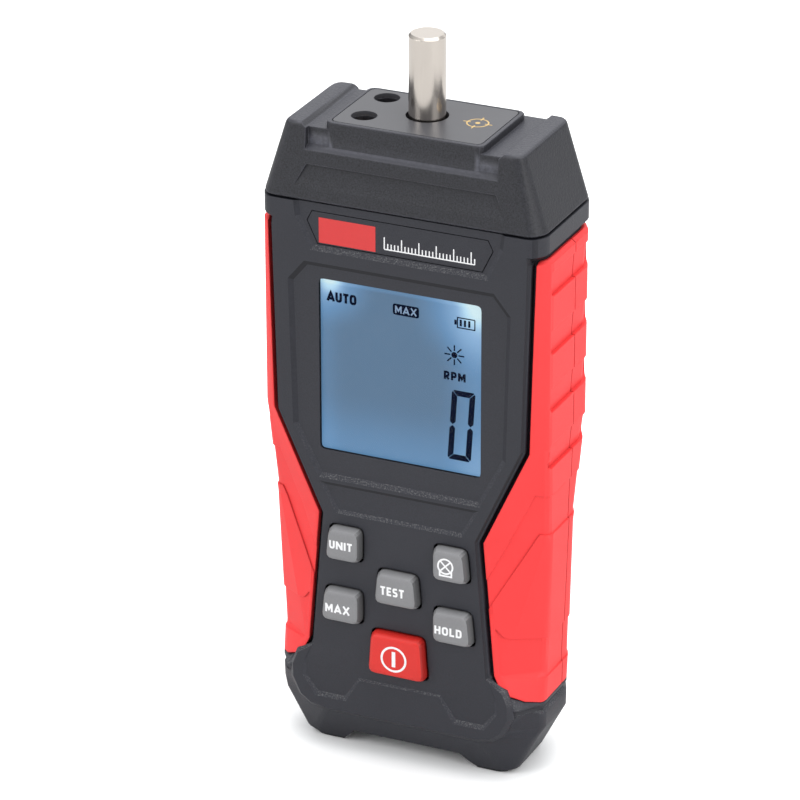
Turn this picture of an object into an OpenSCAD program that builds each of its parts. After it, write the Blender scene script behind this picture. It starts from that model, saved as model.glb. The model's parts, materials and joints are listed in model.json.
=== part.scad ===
// Hand-held tachometer with a contact spindle and an optical sensor head.
// Millimetres, +Z up, front face towards -Y, origin on the spindle axis at foot level.

/* [Case] */
// Case width at the joint with the head
case_width = 66; // [60:0.5:74]
// Case width at the foot belt
base_width = 61; // [55:0.5:68]
// Case depth from the front face to the rear face
case_depth = 32.2; // [30:0.1:36]
// Height of the joint between the case and the head
joint_height = 130; // [120:0.5:144]
// Wall thickness of the case shells
wall = 2; // [1.6:0.1:2.4]
// Distance of the shell split behind the front face
split_depth = 17; // [14:0.5:18]
// Rounding of the long case edges
edge_round = 1.2; // [0.4:0.1:2]

/* [Front panel] */
// Panel width at the waist beside the keys
waist_width = 37.6; // [37:0.2:44]
// Panel width just above the feet
skirt_width = 43; // [41:0.2:48]
// Height that the panel stands over the grips
panel_lip = 1; // [0.5:0.1:1.4]
// Display opening width
window_width = 37.8; // [32:0.2:40]
// Display opening height
window_height = 39.9; // [34:0.1:42]
// Depth of the moulded steps in the panel
step_depth = 0.7; // [0.3:0.05:0.8]
// Badge field width
badge_width = 42.8; // [36:0.2:46]
// Badge field height
badge_height = 7.2; // [5:0.1:8]

/* [Grips] */
// Thickness of the soft grips
grip_thickness = 1.5; // [1:0.1:1.8]
// Depth of the finger pockets
pocket_depth = 0.8; // [0.3:0.1:0.9]
// Height of one finger pocket
pocket_height = 5.7; // [3:0.1:7]
// Distance from one finger pocket to the next
pocket_pitch = 13.3; // [11:0.1:14]
// Depth of the shallow bands in the grips
band_depth = 0.3; // [0.1:0.05:0.6]
// Depth of the groove round the foot belt
belt_groove = 0.9; // [0.4:0.1:1.2]

/* [Keys] */
// Height of the keys over the front panel
key_proud = 2.2; // [1.4:0.1:2.6]
// Travel of a pressed key
key_travel = 0.8; // [0.4:0.1:0.9]
// Height of the small keys
key_height = 7.7; // [6.6:0.1:8.4]
// Width of the power key at its foot
power_width = 13.6; // [10:0.1:16]
// Height of the power key
power_height = 10.1; // [8.6:0.1:10.8]

/* [Head] */
// Height of the head from the joint to the top of its horns
head_height = 17.3; // [16:0.1:22]
// Width over the horns
horn_width = 54.6; // [50:0.2:58]
// Thickness of one horn at its top
horn_thickness = 4; // [2:0.1:5]
// Width of the raised boss in the middle
boss_width = 36.4; // [34:0.2:40]
// Depth of the raised boss, front to rear
boss_depth = 23.2; // [22:0.2:24]
// Offset of the boss from the spindle towards the rear
boss_y = -0.8; // [-1.2:0.1:0]
// Rim of the boss round its plate
plate_rim = 1.05; // [0.7:0.05:1.4]
// Sensor hole diameter
sensor_hole = 5.6; // [4:0.1:6]
// Distance of the sensor holes to the left of the spindle
sensor_offset = 12; // [11:0.1:13.5]
// Distance between the two sensor holes
sensor_pitch = 11.6; // [9:0.1:13]

/* [Spindle] */
// Spindle diameter at its free end
spindle_diameter = 8; // [6:0.1:10]
// Spindle length over the sensor plate
spindle_length = 18.4; // [12:0.1:24]
// Depth of the driving flat
flat_depth = 0.62; // [0.2:0.02:0.8]
// Journal diameter in the bearings
journal_diameter = 6; // [5:0.1:6]
// Bearing outside diameter
bearing_diameter = 13; // [12:0.1:14]
// Bearing width
bearing_width = 5; // [4:0.1:5.5]
// Encoder disc diameter
disc_diameter = 18; // [16:0.1:18.6]
// Number of windows in the encoder disc
disc_windows = 18; // [12:1:24]
// Depth of the frame that holds both bearings
carrier_depth = 18.4; // [16:0.1:19]
// Rim of that frame beside the sensor holes
carrier_rim = 4.6; // [3.6:0.1:5]
// Depth of its two columns
column_depth = 8; // [6:0.1:10]

/* [Power] */
// Cell diameter
cell_diameter = 10.4; // [10:0.1:10.6]
// Cell length with its nub
cell_length = 44.5; // [42:0.1:46]
// Thickness of the battery cover
cover_thickness = 1.8; // [1.4:0.1:2.4]

/* [Clearances] */
// Gap around each key
key_gap = 0.4; // [0.2:0.05:0.6]
// Gap around inlaid plates and the battery cover
inlay_gap = 0.18; // [0.1:0.02:0.3]
// Gap between a grip and the shell under it
grip_gap = 0.05; // [0.02:0.01:0.1]
// Open groove between the panel and the grips
groove_gap = 0.4; // [0.2:0.05:0.6]
// Radial running clearance of the spindle in its bearings
running_gap = 0.03; // [0.01:0.01:0.08]
// Radial gap of the spindle in the head
spindle_gap = 0.6; // [0.4:0.05:0.9]
// Small gap between fixed inner pieces
fit_gap = 0.1; // [0.05:0.01:0.2]

/* [Hidden] */
$fn = 48;

// Main planes
front_y = -(case_depth - key_proud) / 2;
rear_y = (case_depth + key_proud) / 2;
split_y = front_y + split_depth;
case_half = case_width / 2;
base_half = base_width / 2;
hs = joint_height / 130;
up = function(z) z * hs;

// Panel outline, right half from the bottom upwards
panel_top = case_half - 2.6;
panel_shoulder = case_half - 3.7;
waist_half = waist_width / 2;
skirt_half = skirt_width / 2;
panel_half = [[base_half - 12.5, up(10.3)], [base_half - 9, up(11)], [base_half - 6.7, up(12.6)],
  [base_half - 4.8, up(16.5)], [base_half - 4.3, up(19.8)], [base_half - 5.6, up(22.9)],
  [skirt_half, up(25.8)], [waist_half, up(57.8)], [panel_shoulder, up(80.8)],
  [panel_top, up(124.2)], [panel_top - 0.3, up(128.6)]];

// Case sections: height, front y, front half, side half, front crease, rear crease, rear half, rear y
lip_y = front_y + panel_lip;
rear_waist = waist_half + 5;
sections = [
  [0, front_y + 6.1, base_half - 8.6, base_half - 6.9, front_y + 7.6,
    rear_y - 10.2, base_half - 8.8, rear_y - 7.1],
  [up(1.4), front_y + 5.1, base_half - 8.1, base_half - 4.9, front_y + 6.6,
    rear_y - 10.9, base_half - 8.1, rear_y - 6],
  [up(10.3), front_y + 0.7, base_half - 12, base_half - 0.2, front_y + 5.9,
    rear_y - 11.6, base_half - 8, rear_y - 1.2],
  [up(12.5), lip_y, base_half - 7.7, base_half + 1, front_y + 7.2, rear_y - 12.2, base_half - 6, rear_y],
  [up(18.4), lip_y, base_half - 3.2, base_half + 1, front_y + 7.2, rear_y - 12.2, base_half - 5, rear_y],
  [up(26), lip_y, skirt_half + 1.1, base_half + 1.1, front_y + 8.1, rear_y - 11.4, rear_waist, rear_y],
  [up(57.6), lip_y, waist_half + 1, (case_half + base_half) / 2 + 0.9, front_y + 7.2,
    rear_y - 12.2, rear_waist, rear_y],
  [up(81), lip_y, panel_shoulder + 1.1, case_half + 0.4, front_y + 4.1,
    rear_y - 8.2, panel_shoulder - 0.4, rear_y],
  [joint_height, lip_y, panel_top + 0.8, case_half + 0.4, front_y + 4.1, rear_y - 7.9,
    panel_top - 1.9, rear_y]];

// Case section at any height between the first and the last
function section_at(z) =
  let (i = max([for (k = [0:len(sections) - 2]) sections[k][0] <= z ? k : 0]),
    t = (z - sections[i][0]) / (sections[i + 1][0] - sections[i][0]))
  sections[i] * (1 - t) + sections[i + 1] * t;

// Heights in the head and along the spindle
channel_z = joint_height + head_height - 1.1;
roof_z = channel_z - 2.6;
boss_z = joint_height + head_height + 0.6;
plate_thickness = 1;
spindle_top = boss_z + spindle_length;
lower_seat_z = joint_height - 12.5;
carrier_bottom = lower_seat_z - 0.6;
disc_z = lower_seat_z + bearing_width + 4.2;
carrier_block_z = roof_z - bearing_width - 3.6;
journal_r = journal_diameter / 2;
bearing_r = bearing_diameter / 2;
disc_r = disc_diameter / 2;
column_x = disc_r + 1.5;

// Depths of the display stack behind the front face
lens_y = front_y + 0.9;
lens_thickness = 0.7;
lcd_y = lens_y + lens_thickness + 0.05;
lcd_thickness = 2;
light_thickness = 3.5;
board_y = lcd_y + lcd_thickness + light_thickness;
board_thickness = 1.6;
window_top = joint_height - 17.1;
window_bottom = window_top - window_height;
stack_margin = 1.5;
stack_half = window_width / 2 + stack_margin;

// Keys: centre height, inner half, outer half at the top, outer half at the foot, height
side_inner = 8.65;
key_flange = 0.8;
key_rows = [up(51.9), up(43.45), up(36.95), up(27.35)];
flange_front = front_y + wall + 0.08;
flange_thickness = 1;
switch_top = flange_front + flange_thickness + key_travel + 0.15;

// Screws and bosses
boss_r = 2.8;
upper_screw = [case_half - 7.2, joint_height - 18];
lower_screw = [base_half - 11.5, up(19.6)];
screw_r = 1.25;
screw_head_r = 2.3;

// Battery bay
bay_half = 1.5 * cell_diameter + 1.1;
spring_length = 5;
contact_thickness = 0.5;
bay_length = cell_length + spring_length + 2 * contact_thickness;
bay_bottom = up(56) - bay_length / 2;
bay_top = bay_bottom + bay_length;
cover_y = rear_y - cover_thickness;
cell_y = cover_y - 0.25 - cell_diameter / 2;
bay_floor = cell_y - cell_diameter / 2 - 0.2;
cell_pitch = cell_diameter + 0.4;
cover_half = bay_half + 2.2;

// Inward normal of one side of a polygon that runs anticlockwise
function side_normal(p, i) =
  let (d = p[(i + 1) % len(p)] - p[i % len(p)]) [-d[1], d[0]] / norm(d);

// Polygon with every side moved inwards by d
function inset(p, d) = [for (i = [0:len(p) - 1])
  let (u = side_normal(p, i + len(p) - 1), v = side_normal(p, i)) p[i] + (u + v) * d / (1 + u * v)];

// Polygon with its corners turned into short curves
function soft(p, r, n = 2) = [for (i = [0:len(p) - 1])
  let (q = p[i], a = p[(i + len(p) - 1) % len(p)] - q, b = p[(i + 1) % len(p)] - q,
    u = q + a / norm(a) * min(r, norm(a) * 0.45), v = q + b / norm(b) * min(r, norm(b) * 0.45))
  for (k = [0:n]) let (t = k / n) u * (1 - t) * (1 - t) + q * 2 * t * (1 - t) + v * t * t];

// Whole outline from its right half
function both(h) = concat(h, [for (i = [len(h) - 1:-1:0]) [-h[i][0], h[i][1]]]);
function flat_ring(p, z) = [for (q = p) [q[0], q[1], z]];
function face_ring(p, y) = [for (q = p) [q[0], y, q[1]]];
function case_outline(s, d) = soft(inset([[-s[2], s[1]], [s[2], s[1]], [s[3], s[4]], [s[3], s[5]],
  [s[6], s[7]], [-s[6], s[7]], [-s[3], s[5]], [-s[3], s[4]]], d), edge_round);
function case_rings(d) = [for (s = sections) flat_ring(case_outline(s, d), s[0])];
function box_outline(w, z0, z1) = [[w, z0], [w, z1], [-w, z1], [-w, z0]];

// Solid through a list of matching outlines
module loft(rings) {
  n = len(rings[0]);
  m = len(rings);
  polyhedron(
    points = [for (r = rings) for (p = r) p],
    faces = concat(
      [[for (i = [0:n - 1]) i]],
      [[for (i = [n - 1:-1:0]) (m - 1) * n + i]],
      [for (j = [0:m - 2]) for (i = [0:n - 1]) [j * n + i, (j + 1) * n + i, (j + 1) * n + (i + 1) % n]],
      [for (j = [0:m - 2]) for (i = [0:n - 1]) [j * n + i, (j + 1) * n + (i + 1) % n, j * n + (i + 1) % n]]));
}

// Flat outline in X and Z, drawn from y0 back to y1
module face_prism(p, y0, y1) {
  translate([0, y1, 0])
    rotate([90, 0, 0])
      linear_extrude(y1 - y0)
        polygon(p);
}

// Shallow step in the front panel with sloping sides
module panel_step(p, depth) {
  loft([face_ring(inset(p, depth * 1.5), front_y + depth), face_ring(inset(p, -0.3), front_y - 0.2)]);
}

// Round bar along Y
module rod_y(x, z, r, y0, y1) {
  translate([x, y0, z])
    rotate([-90, 0, 0])
      cylinder(h = y1 - y0, r = r);
}

module half_space(front) {
  y0 = front ? front_y - 10 : split_y;
  y1 = front ? split_y : rear_y + 10;
  translate([-60, y0, -10])
    cube([120, y1 - y0, joint_height + 60]);
}

// Grip area seen from the front, right side; d moves its edges inwards
function grip_zone(inner, d, side) = [
  [skirt_half + 2 + side, up(22.5)], [base_half + 0.6, up(18.9) + d * 0.25],
  [case_half + 8, up(18.9) + d * 0.25], [case_half + 8, up(124.8) - d], [panel_top + 0.3 + side, up(124.8) - d],
  [panel_shoulder + 0.3 + side, up(80.6)], [inner + 0.3 + side, up(57.6)], [skirt_half + 0.3 + side, up(26.2)]];

// V groove under the collar at the top of the grips
module collar_groove() {
  g = 0.9;
  s = sections[len(sections) - 1];
  z = up(124.7);
  difference() {
    translate([-60, front_y - 10, z - g])
      cube([120, case_depth + 20, 2 * g]);
    loft([flat_ring(case_outline(s, -0.4), z - g - 0.4), flat_ring(case_outline(s, g * 1.4), z),
      flat_ring(case_outline(s, -0.4), z + g + 0.4)]);
  }
}

// Groove between the grips and the foot belt
module foot_groove() {
  z = up(17.1);
  g = 1.15;
  d = belt_groove;
  difference() {
    translate([-60, front_y - 10, z - g])
      cube([120, case_depth + 20, 2 * g]);
    loft([flat_ring(case_outline(section_at(z), -0.5), z - g - 0.3), flat_ring(case_outline(section_at(z), d), z - 0.5),
      flat_ring(case_outline(section_at(z), d), z + 0.5), flat_ring(case_outline(section_at(z), -0.5), z + g + 0.3)]);
  }
}

// Raised front panel with a sloping lip, in three stretches that meet at the skirt and the waist
module panel_solid() {
  n = len(panel_half) - 1;
  low = [for (i = [0:n]) inset(both(panel_half), i < 4 ? -1.1 : i < 6 ? -0.3 : 0.55)[i]];
  high = [for (i = [0:n]) inset(both(panel_half), i < 4 ? 0 : i < 6 ? 0.45 : 0.9)[i]];
  for (r = [[0, 6], [6, 7], [7, n]]) {
    a = both([for (i = [r[0]:r[1]]) low[i]]);
    b = both([for (i = [r[0]:r[1]]) high[i]]);
    loft([face_ring(a, front_y + wall), face_ring(a, front_y + 1.1), face_ring(b, front_y)]);
  }
}

// Collar under the head, set back at its lower edge
module collar() {
  loft([flat_ring(head_outline(0, 1.2), up(124.7)), flat_ring(head_outline(0, 0.9), up(125.2)),
    flat_ring(head_outline(0, 0), up(125.9)), flat_ring(head_outline(0, 0), joint_height)]);
}

// Outer form of the case with seats for the grips
module case_form() {
  collar();
  difference() {
    loft(case_rings(0));
    collar_groove();
    foot_groove();
    translate([-60, front_y - 10, up(124.7)])
      cube([120, case_depth + 20, 40]);
    for (k = [0, 1])
      mirror([k, 0, 0])
        difference() {
          union() {
            face_prism(grip_zone(waist_half, 0, -0.6), front_y - 5, split_y);
            face_prism(grip_zone(rear_waist, 0, 0), split_y, rear_y + 5);
          }
          loft(case_rings(grip_thickness));
        }
  }
}

// Hollow of the case behind the front wall
module case_hollow() {
  d = grip_thickness + wall - 0.2;
  low = sections[2];
  loft(concat([flat_ring(case_outline(low, d + 1.4), up(7.5))],
    [for (i = [4:len(sections) - 1]) flat_ring(case_outline(sections[i], d), sections[i][0])],
    [flat_ring(case_outline(sections[len(sections) - 1], d), joint_height + 5)]));
}

// Arch between the feet
module foot_arch() {
  p = [[-base_half + 14, -1], [base_half - 14, -1], [base_half - 14.2, 0], [base_half - 17.8, up(3.7)],
    [-base_half + 17.8, up(3.7)], [-base_half + 14.2, 0]];
  face_prism(p, front_y - 5, rear_y + 5);
}

// Rim that centres the head on the case
module head_tongue() {
  difference() {
    loft([flat_ring(head_outline(0, wall + 0.5), joint_height - 4),
      flat_ring(head_outline(0, wall + 0.5), joint_height),
      head_ring(joint_height + 2.6, wall + 0.75)]);
    loft([flat_ring(head_outline(0, wall + 1.8), joint_height - 5),
      flat_ring(head_outline(0, wall + 1.8), joint_height),
      head_ring(joint_height + 3, wall + 1.95)]);
  }
}

module screw_posts(y0, y1, r) {
  for (k = [-1, 1]) {
    rod_y(k * upper_screw[0], upper_screw[1], r, y0, y1);
    rod_y(k * lower_screw[0], lower_screw[1], r, y0, y1);
  }
}

// Key outlines in X and Z
function side_key(row, top, foot, side) =
  let (z = key_rows[row], h = key_height / 2, i = side * side_inner, t = side * top, f = side * foot)
  side > 0 ? [[i, z - h], [f, z - h], [t, z + h], [i, z + h]] : [[f, z - h], [i, z - h], [i, z + h], [t, z + h]];
function middle_key(row, w, h) =
  let (z = key_rows[row]) [[-w / 2, z - h / 2], [w / 2, z - h / 2], [w / 2 - 0.7, z + h / 2], [-w / 2 + 0.7, z + h / 2]];
unit_outline = side_key(0, 16.1, 16.9, -1);
light_outline = side_key(0, 16.1, 16.9, 1);
test_outline = middle_key(1, 10.5, key_height);
max_outline = side_key(2, 17.2, 18, -1);
hold_outline = side_key(2, 17.2, 18, 1);
power_outline = middle_key(3, power_width, power_height);
key_outlines = [unit_outline, light_outline, test_outline, max_outline, hold_outline, power_outline];

// Key cap with a rounded crown and a flange behind the wall
module key_cap(p) {
  c = soft(p, 1.4, 3);
  top = front_y - key_proud;
  f = soft(inset(p, -key_flange), 1.2, 3);
  loft([face_ring(c, flange_front), face_ring(c, front_y - key_proud * 0.4),
    face_ring(soft(inset(p, 0.15), 1.6, 3), top + key_proud * 0.3),
    face_ring(soft(inset(p, 0.42), 1.5, 3), top + key_proud * 0.1),
    face_ring(soft(inset(p, 0.8), 1.4, 3), top + key_proud * 0.02),
    face_ring(soft(inset(p, 1.4), 1.2, 3), top)]);
  face_prism(f, flange_front, flange_front + flange_thickness);
}

badge_half = [[badge_width / 2 - 2.4, joint_height - 2 - badge_height],
  [badge_width / 2, joint_height - 4.2], [badge_width / 2 - 1.1, joint_height - 2]];

// Field round the lower keys, which sinks towards its lower edge
module key_field() {
  lobe = [[9.5, up(27.5)], [9.5, up(18.7)], [12.9, up(12.9)], [20.3, up(12.9)], [23.4, up(17.4)], [22.9, up(21.5)],
    [20, up(27.5)]];
  middle = both([[15, up(18.7)], [15, up(27.5)]]);
  intersection() {
    union() {
      panel_step(middle, step_depth);
      panel_step(lobe, step_depth);
      mirror([1, 0, 0])
        panel_step(lobe, step_depth);
    }
    rotate([90, 0, 90])
      linear_extrude(80, center = true)
        polygon([[front_y - 3, up(10)], [front_y + step_depth, up(10)], [front_y + step_depth * 0.9, up(13.9)],
          [front_y - 0.05, up(27.2)], [front_y - 3, up(27.2)]]);
  }
}

module front_shell() color("#3c3c40") {
  lcd = window_width / 2;
  lock = inset(box_outline(lcd, window_bottom, window_top), 0);
  difference() {
    union() {
      intersection() {
        case_form();
        half_space(true);
      }
      panel_solid();
    }
    difference() {
      case_hollow();
      screw_posts(front_y, split_y, boss_r);
    }
    // Room behind the front wall
    difference() {
      face_prism(inset(both(panel_half), 1), front_y + wall, front_y + wall + 6);
      screw_posts(front_y, split_y, boss_r);
      translate([-60, front_y, -10])
        cube([120, 20, up(14.3) + 10]);
    }
    foot_arch();
    // Moulded steps of the panel
    panel_step(both([[badge_width / 2 - 0.8, joint_height - 10.7], [badge_width / 2 + 2.6, joint_height - 3.5],
      [badge_width / 2 + 3.4, joint_height + 3]]), step_depth);
    panel_step(both([[lcd + 0.1, window_bottom - 6.6], [lcd + 6.1, window_bottom + 5.1],
      [lcd + 7, window_top - 1], [lcd + 3.1, window_top + 3.7]]), step_depth);
    panel_step(both([[15, up(58.5)], [lcd, window_bottom - 7.4]]), step_depth * 0.8);
    key_field();
    // Display opening with a seat for the window from behind
    face_prism(soft(lock, 1.2, 3), front_y - 1, front_y + wall + 1);
    face_prism(inset(lock, -stack_margin - fit_gap), lens_y, front_y + wall + 1);
    // Seat of the badge plate
    face_prism(inset(both(badge_half), -inlay_gap), front_y - 1, front_y + step_depth + 0.6);
    // Key openings
    for (p = key_outlines)
      face_prism(soft(inset(p, -key_gap), 1.6, 3), front_y - 1, front_y + wall + 1);
    // Screw holes
    screw_posts(split_y - 9, split_y + 1, screw_r + 0.05);
  }
  intersection() {
    head_tongue();
    half_space(true);
  }
}

module rear_shell() color("#3c3c40") {
  difference() {
    union() {
      difference() {
        intersection() {
          case_form();
          half_space(false);
        }
        difference() {
          case_hollow();
          screw_posts(split_y - 1, rear_y, boss_r);
          translate([-bay_half - 1.4, bay_floor - 1.4, bay_bottom - 1.4])
            cube([2 * bay_half + 2.8, rear_y, bay_length + 2.8]);
        }
      }
      intersection() {
        head_tongue();
        half_space(false);
      }
    }
    foot_arch();
    // Battery bay and the seat of its cover
    translate([-bay_half, bay_floor, bay_bottom])
      cube([2 * bay_half, rear_y, bay_length]);
    face_prism(soft(box_outline(cover_half + inlay_gap, bay_bottom - 2.2 - inlay_gap, bay_top + 2.2 + inlay_gap),
      1.5, 3), cover_y, rear_y + 1);
    // Finger scoop over the latch
    translate([0, rear_y + 4.2, bay_top + 4.4])
      rotate([0, 90, 0])
        cylinder(h = 12, r = 5.6, center = true);
    // Screw holes and head seats
    screw_posts(split_y - 1, rear_y + 1, screw_r + 0.15);
    screw_posts(rear_y - 3.4, rear_y + 1, screw_head_r + 0.4);
  }
}

// Head outline between the joint (t = 0) and the top (t = 1)
function mix(a, b, t) = a + (b - a) * t;
function head_outline(t, d) =
  let (f = front_y + 1.8 * t, r = rear_y - 4.4 * t, a = mix(panel_top + 0.2, horn_width / 2 - 1.2, t),
    b = mix(case_half - 0.2, horn_width / 2, t), c = mix(3, 1.3, t), e = mix(6.2, 1.8, t),
    g = mix(panel_top - 1.8, horn_width / 2 - 1.2, t))
  soft(inset([[-a, f], [a, f], [b, f + c], [b, r - e], [g, r], [-g, r], [-b, r - e], [-b, f + c]], d), edge_round);
function head_ring(z, d) = flat_ring(head_outline((z - joint_height) / head_height, d), z);

// Boss that carries the sensor plate, seen from above
boss_outline = [[-boss_width / 2, boss_y - boss_depth / 2], [boss_width / 2, boss_y - boss_depth / 2],
  [boss_width / 2, boss_y + boss_depth / 2], [-boss_width / 2, boss_y + boss_depth / 2]];

// Notch between the horns, with a sloping ledge under it
module head_notch(front) {
  face = front ? -front_y : rear_y;
  back = front ? 0 : 2.1;
  y = face - 2.9 - back;
  out = face + 5;
  lip = face - 1.3 - back;
  z = channel_z - 3.8;
  p = [[out, z - 0.9], [lip, z - 0.9], [y, z], [y, z + 8], [out, z + 8]];
  mirror([0, front ? 1 : 0, 0])
    translate([-horn_width / 2 + horn_thickness + 1.2, 0, 0])
      rotate([90, 0, 90])
        linear_extrude(horn_width - 2 * horn_thickness - 2.4)
          polygon(p);
}

module head_cap() color("#3a3a3e") {
  top = joint_height + head_height;
  r = 0.9;
  w = horn_width / 2 - horn_thickness;
  rec = [[-25.2, joint_height + 1.6], [25.2, joint_height + 1.6], [22.3, joint_height + 8.8],
    [-22.3, joint_height + 8.8]];
  difference() {
    union() {
      difference() {
        loft(concat([head_ring(joint_height + 0.05, 0.9), head_ring(joint_height + 0.4, 0.9),
          head_ring(joint_height + 0.55, 0.1), head_ring(joint_height + 0.75, 0)],
          [for (k = [0:3]) head_ring(top - r + r * sin(k * 30), r * (1 - cos(k * 30)))]));
        // Channel between the horns
        translate([0, rear_y + 5, 0])
          rotate([90, 0, 0])
            linear_extrude(case_depth + 10)
              polygon([[-w - 0.6, top + 1], [-w, top], [-w + 1.1, channel_z], [w - 1.1, channel_z], [w, top],
                [w + 0.6, top + 1]]);
        head_notch(true);
        head_notch(false);
        // Shallow field on the front slope
        loft([[for (q = rec) let (t = (q[1] - rec[0][1]) / (rec[2][1] - rec[0][1]))
          [q[0] - sign(q[0]) * 0.5 * t, front_y - 0.1 + 1.75 * t, q[1] - 0.5 * t]], face_ring(rec, front_y - 2)]);
      }
      // Boss that carries the sensor plate
      loft([for (k = [[channel_z - 5, 0], [boss_z - 0.4, 0], [boss_z - 0.1, 0.12], [boss_z, 0.4]])
        flat_ring(soft(inset(boss_outline, k[1]), 2, 3), k[0])]);
    }
    // Hollow inside
    loft([head_ring(joint_height - 1, wall + 0.3), head_ring(joint_height + 4, wall + 0.3),
      head_ring(roof_z, wall + 0.5)]);
    // Seat of the sensor plate
    translate([0, 0, boss_z - plate_thickness])
      linear_extrude(2)
        polygon(soft(inset(boss_outline, plate_rim - inlay_gap), 1.6, 3));
    translate([0, 0, roof_z - 1])
      cylinder(h = 10, d = spindle_diameter + 2 * spindle_gap);
    for (k = [-1, 1])
      translate([-sensor_offset, k * sensor_pitch / 2, roof_z - 1])
        cylinder(h = 10, d = sensor_hole);
  }
}

module sensor_plate() color("#56565b") {
  difference() {
    translate([0, 0, boss_z - plate_thickness])
      linear_extrude(plate_thickness)
        polygon(soft(inset(boss_outline, plate_rim), 1.5, 3));
    translate([0, 0, boss_z - 2])
      cylinder(h = 4, d = spindle_diameter + 2 * spindle_gap);
    for (k = [-1, 1])
      translate([-sensor_offset, k * sensor_pitch / 2, boss_z - 2])
        cylinder(h = 4, d = sensor_hole);
  }
}

module badge_plate() color("#35353a") {
  face_prism(both(badge_half), front_y + step_depth, front_y + step_depth + 0.6);
}

// Finger pocket round the right side, deepest at its lower edge
module finger_pocket(z) {
  y0 = front_y + 4.4;
  y1 = rear_y - 5;
  h = pocket_height / 2;
  difference() {
    translate([0, 0, z])
      rotate([90, 0, 90])
        linear_extrude(60)
          polygon(soft([[y0, -h], [y1, -h], [y1, h], [y0, h]], 1.4, 3));
    loft([flat_ring(case_outline(section_at(z - h - 0.1), pocket_depth), z - h - 0.1),
      flat_ring(case_outline(section_at(z + h + 0.1), pocket_depth / 2), z + h + 0.1)]);
  }
}

// Shallow bands across the lower part of the right grip, seen from the front
module grip_bands() {
  face_prism([[waist_half + 0.4, up(39.2)], [base_half, up(59.7)], [case_half + 9, up(58)],
    [case_half + 9, up(67.4)], [base_half - 0.4, up(69.7)], [waist_half + 0.4, up(46.8)]], front_y - 5, rear_y + 5);
  face_prism([[skirt_half + 1.6, up(26.6)], [base_half - 6.5, up(25.6)], [base_half, up(24.6)],
    [case_half + 9, up(23.4)], [case_half + 9, up(33)], [base_half, up(34.4)], [base_half - 6.5, up(35.2)],
    [skirt_half + 0.7, up(37.4)]], front_y - 5, rear_y + 5);
}

module right_grip(front) {
  inner = front ? waist_half : rear_waist;
  difference() {
    intersection() {
      loft(case_rings(0));
      face_prism(grip_zone(inner, groove_gap, groove_gap), front ? front_y - 5 : split_y + 0.15,
        front ? split_y - 0.15 : rear_y + 5);
    }
    loft(case_rings(grip_thickness - grip_gap));
    collar_groove();
    for (k = [0:3])
      finger_pocket(up(118.75) - k * pocket_pitch);
    difference() {
      grip_bands();
      loft(case_rings(band_depth));
    }
  }
}

module right_front_grip() color("#d8262c") right_grip(true);

module right_rear_grip() color("#d8262c") right_grip(false);

module left_front_grip() color("#d8262c") mirror([1, 0, 0]) right_grip(true);

module left_rear_grip() color("#d8262c") mirror([1, 0, 0]) right_grip(false);

module display_window() color("#bcd0e0", 0.4) {
  translate([-stack_half, lens_y, window_bottom - stack_margin])
    cube([2 * stack_half, lens_thickness, window_height + 2 * stack_margin]);
}

module lcd_panel() color("#7fa6cf") {
  translate([-stack_half, lcd_y, window_bottom - stack_margin])
    cube([2 * stack_half, lcd_thickness, window_height + 2 * stack_margin]);
}

module backlight() color("#e8eef2") {
  translate([-stack_half, lcd_y + lcd_thickness, window_bottom - stack_margin])
    cube([2 * stack_half, light_thickness, window_height + 2 * stack_margin]);
}

module main_board() color("#1f6b3a") {
  w = min(upper_screw[0] - boss_r - 1.6, stack_half + 1.8);
  translate([-w, board_y, lower_screw[1] + boss_r + 1.6])
    cube([2 * w, board_thickness, window_top + 2.2 - lower_screw[1] - boss_r - 1.6]);
}

// Press switches on the board, one behind each key
module tact_switches() color("#202226") {
  for (p = key_outlines) {
    x = (p[0][0] + p[1][0] + p[2][0] + p[3][0]) / 4;
    z = (p[0][1] + p[2][1]) / 2;
    translate([x - 3, switch_top + 0.8, z - 3])
      cube([6, board_y - switch_top - 0.8, 6]);
    rod_y(x, z, 1.7, switch_top, switch_top + 1);
  }
}

module unit_key() color("#8a8a8d") key_cap(unit_outline);

module light_key() color("#8a8a8d") key_cap(light_outline);

module test_key() color("#8a8a8d") key_cap(test_outline);

module max_key() color("#8a8a8d") key_cap(max_outline);

module hold_key() color("#8a8a8d") key_cap(hold_outline);

module power_key() color("#d8262c") key_cap(power_outline);

// Stepped shaft with a flat and a groove for the clip
module spindle() color("#c9c3ba") {
  r = spindle_diameter / 2;
  low = carrier_bottom - 2.2;
  difference() {
    rotate_extrude()
      polygon([[0, low], [journal_r - 0.4, low], [journal_r, low + 0.4], [journal_r, low + 1],
        [journal_r - 0.5, low + 1], [journal_r - 0.5, low + 2], [journal_r, low + 2],
        [journal_r, boss_z - 0.5], [r, boss_z - 0.5], [r, spindle_top - 0.5], [r - 0.5, spindle_top], [0, spindle_top]]);
    rotate([0, 0, 148.5])
      translate([r - flat_depth, -r, boss_z + 2.4])
        cube([r, 2 * r, spindle_length]);
  }
}

// Slotted disc that the fork sensor reads
module encoder_disc() color("#2a2a2d") {
  difference() {
    union() {
      translate([0, 0, disc_z])
        cylinder(h = 1, r = disc_r);
      translate([0, 0, disc_z - 1.5])
        cylinder(h = 4, r = journal_r + 1.8);
    }
    translate([0, 0, disc_z - 5])
      cylinder(h = 10, r = journal_r);
    for (k = [0:disc_windows - 1])
      rotate([0, 0, k * 360 / disc_windows])
        translate([disc_r - 2.6, -0.6, disc_z - 1])
          cube([1.8, 1.2, 3]);
  }
}

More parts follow.
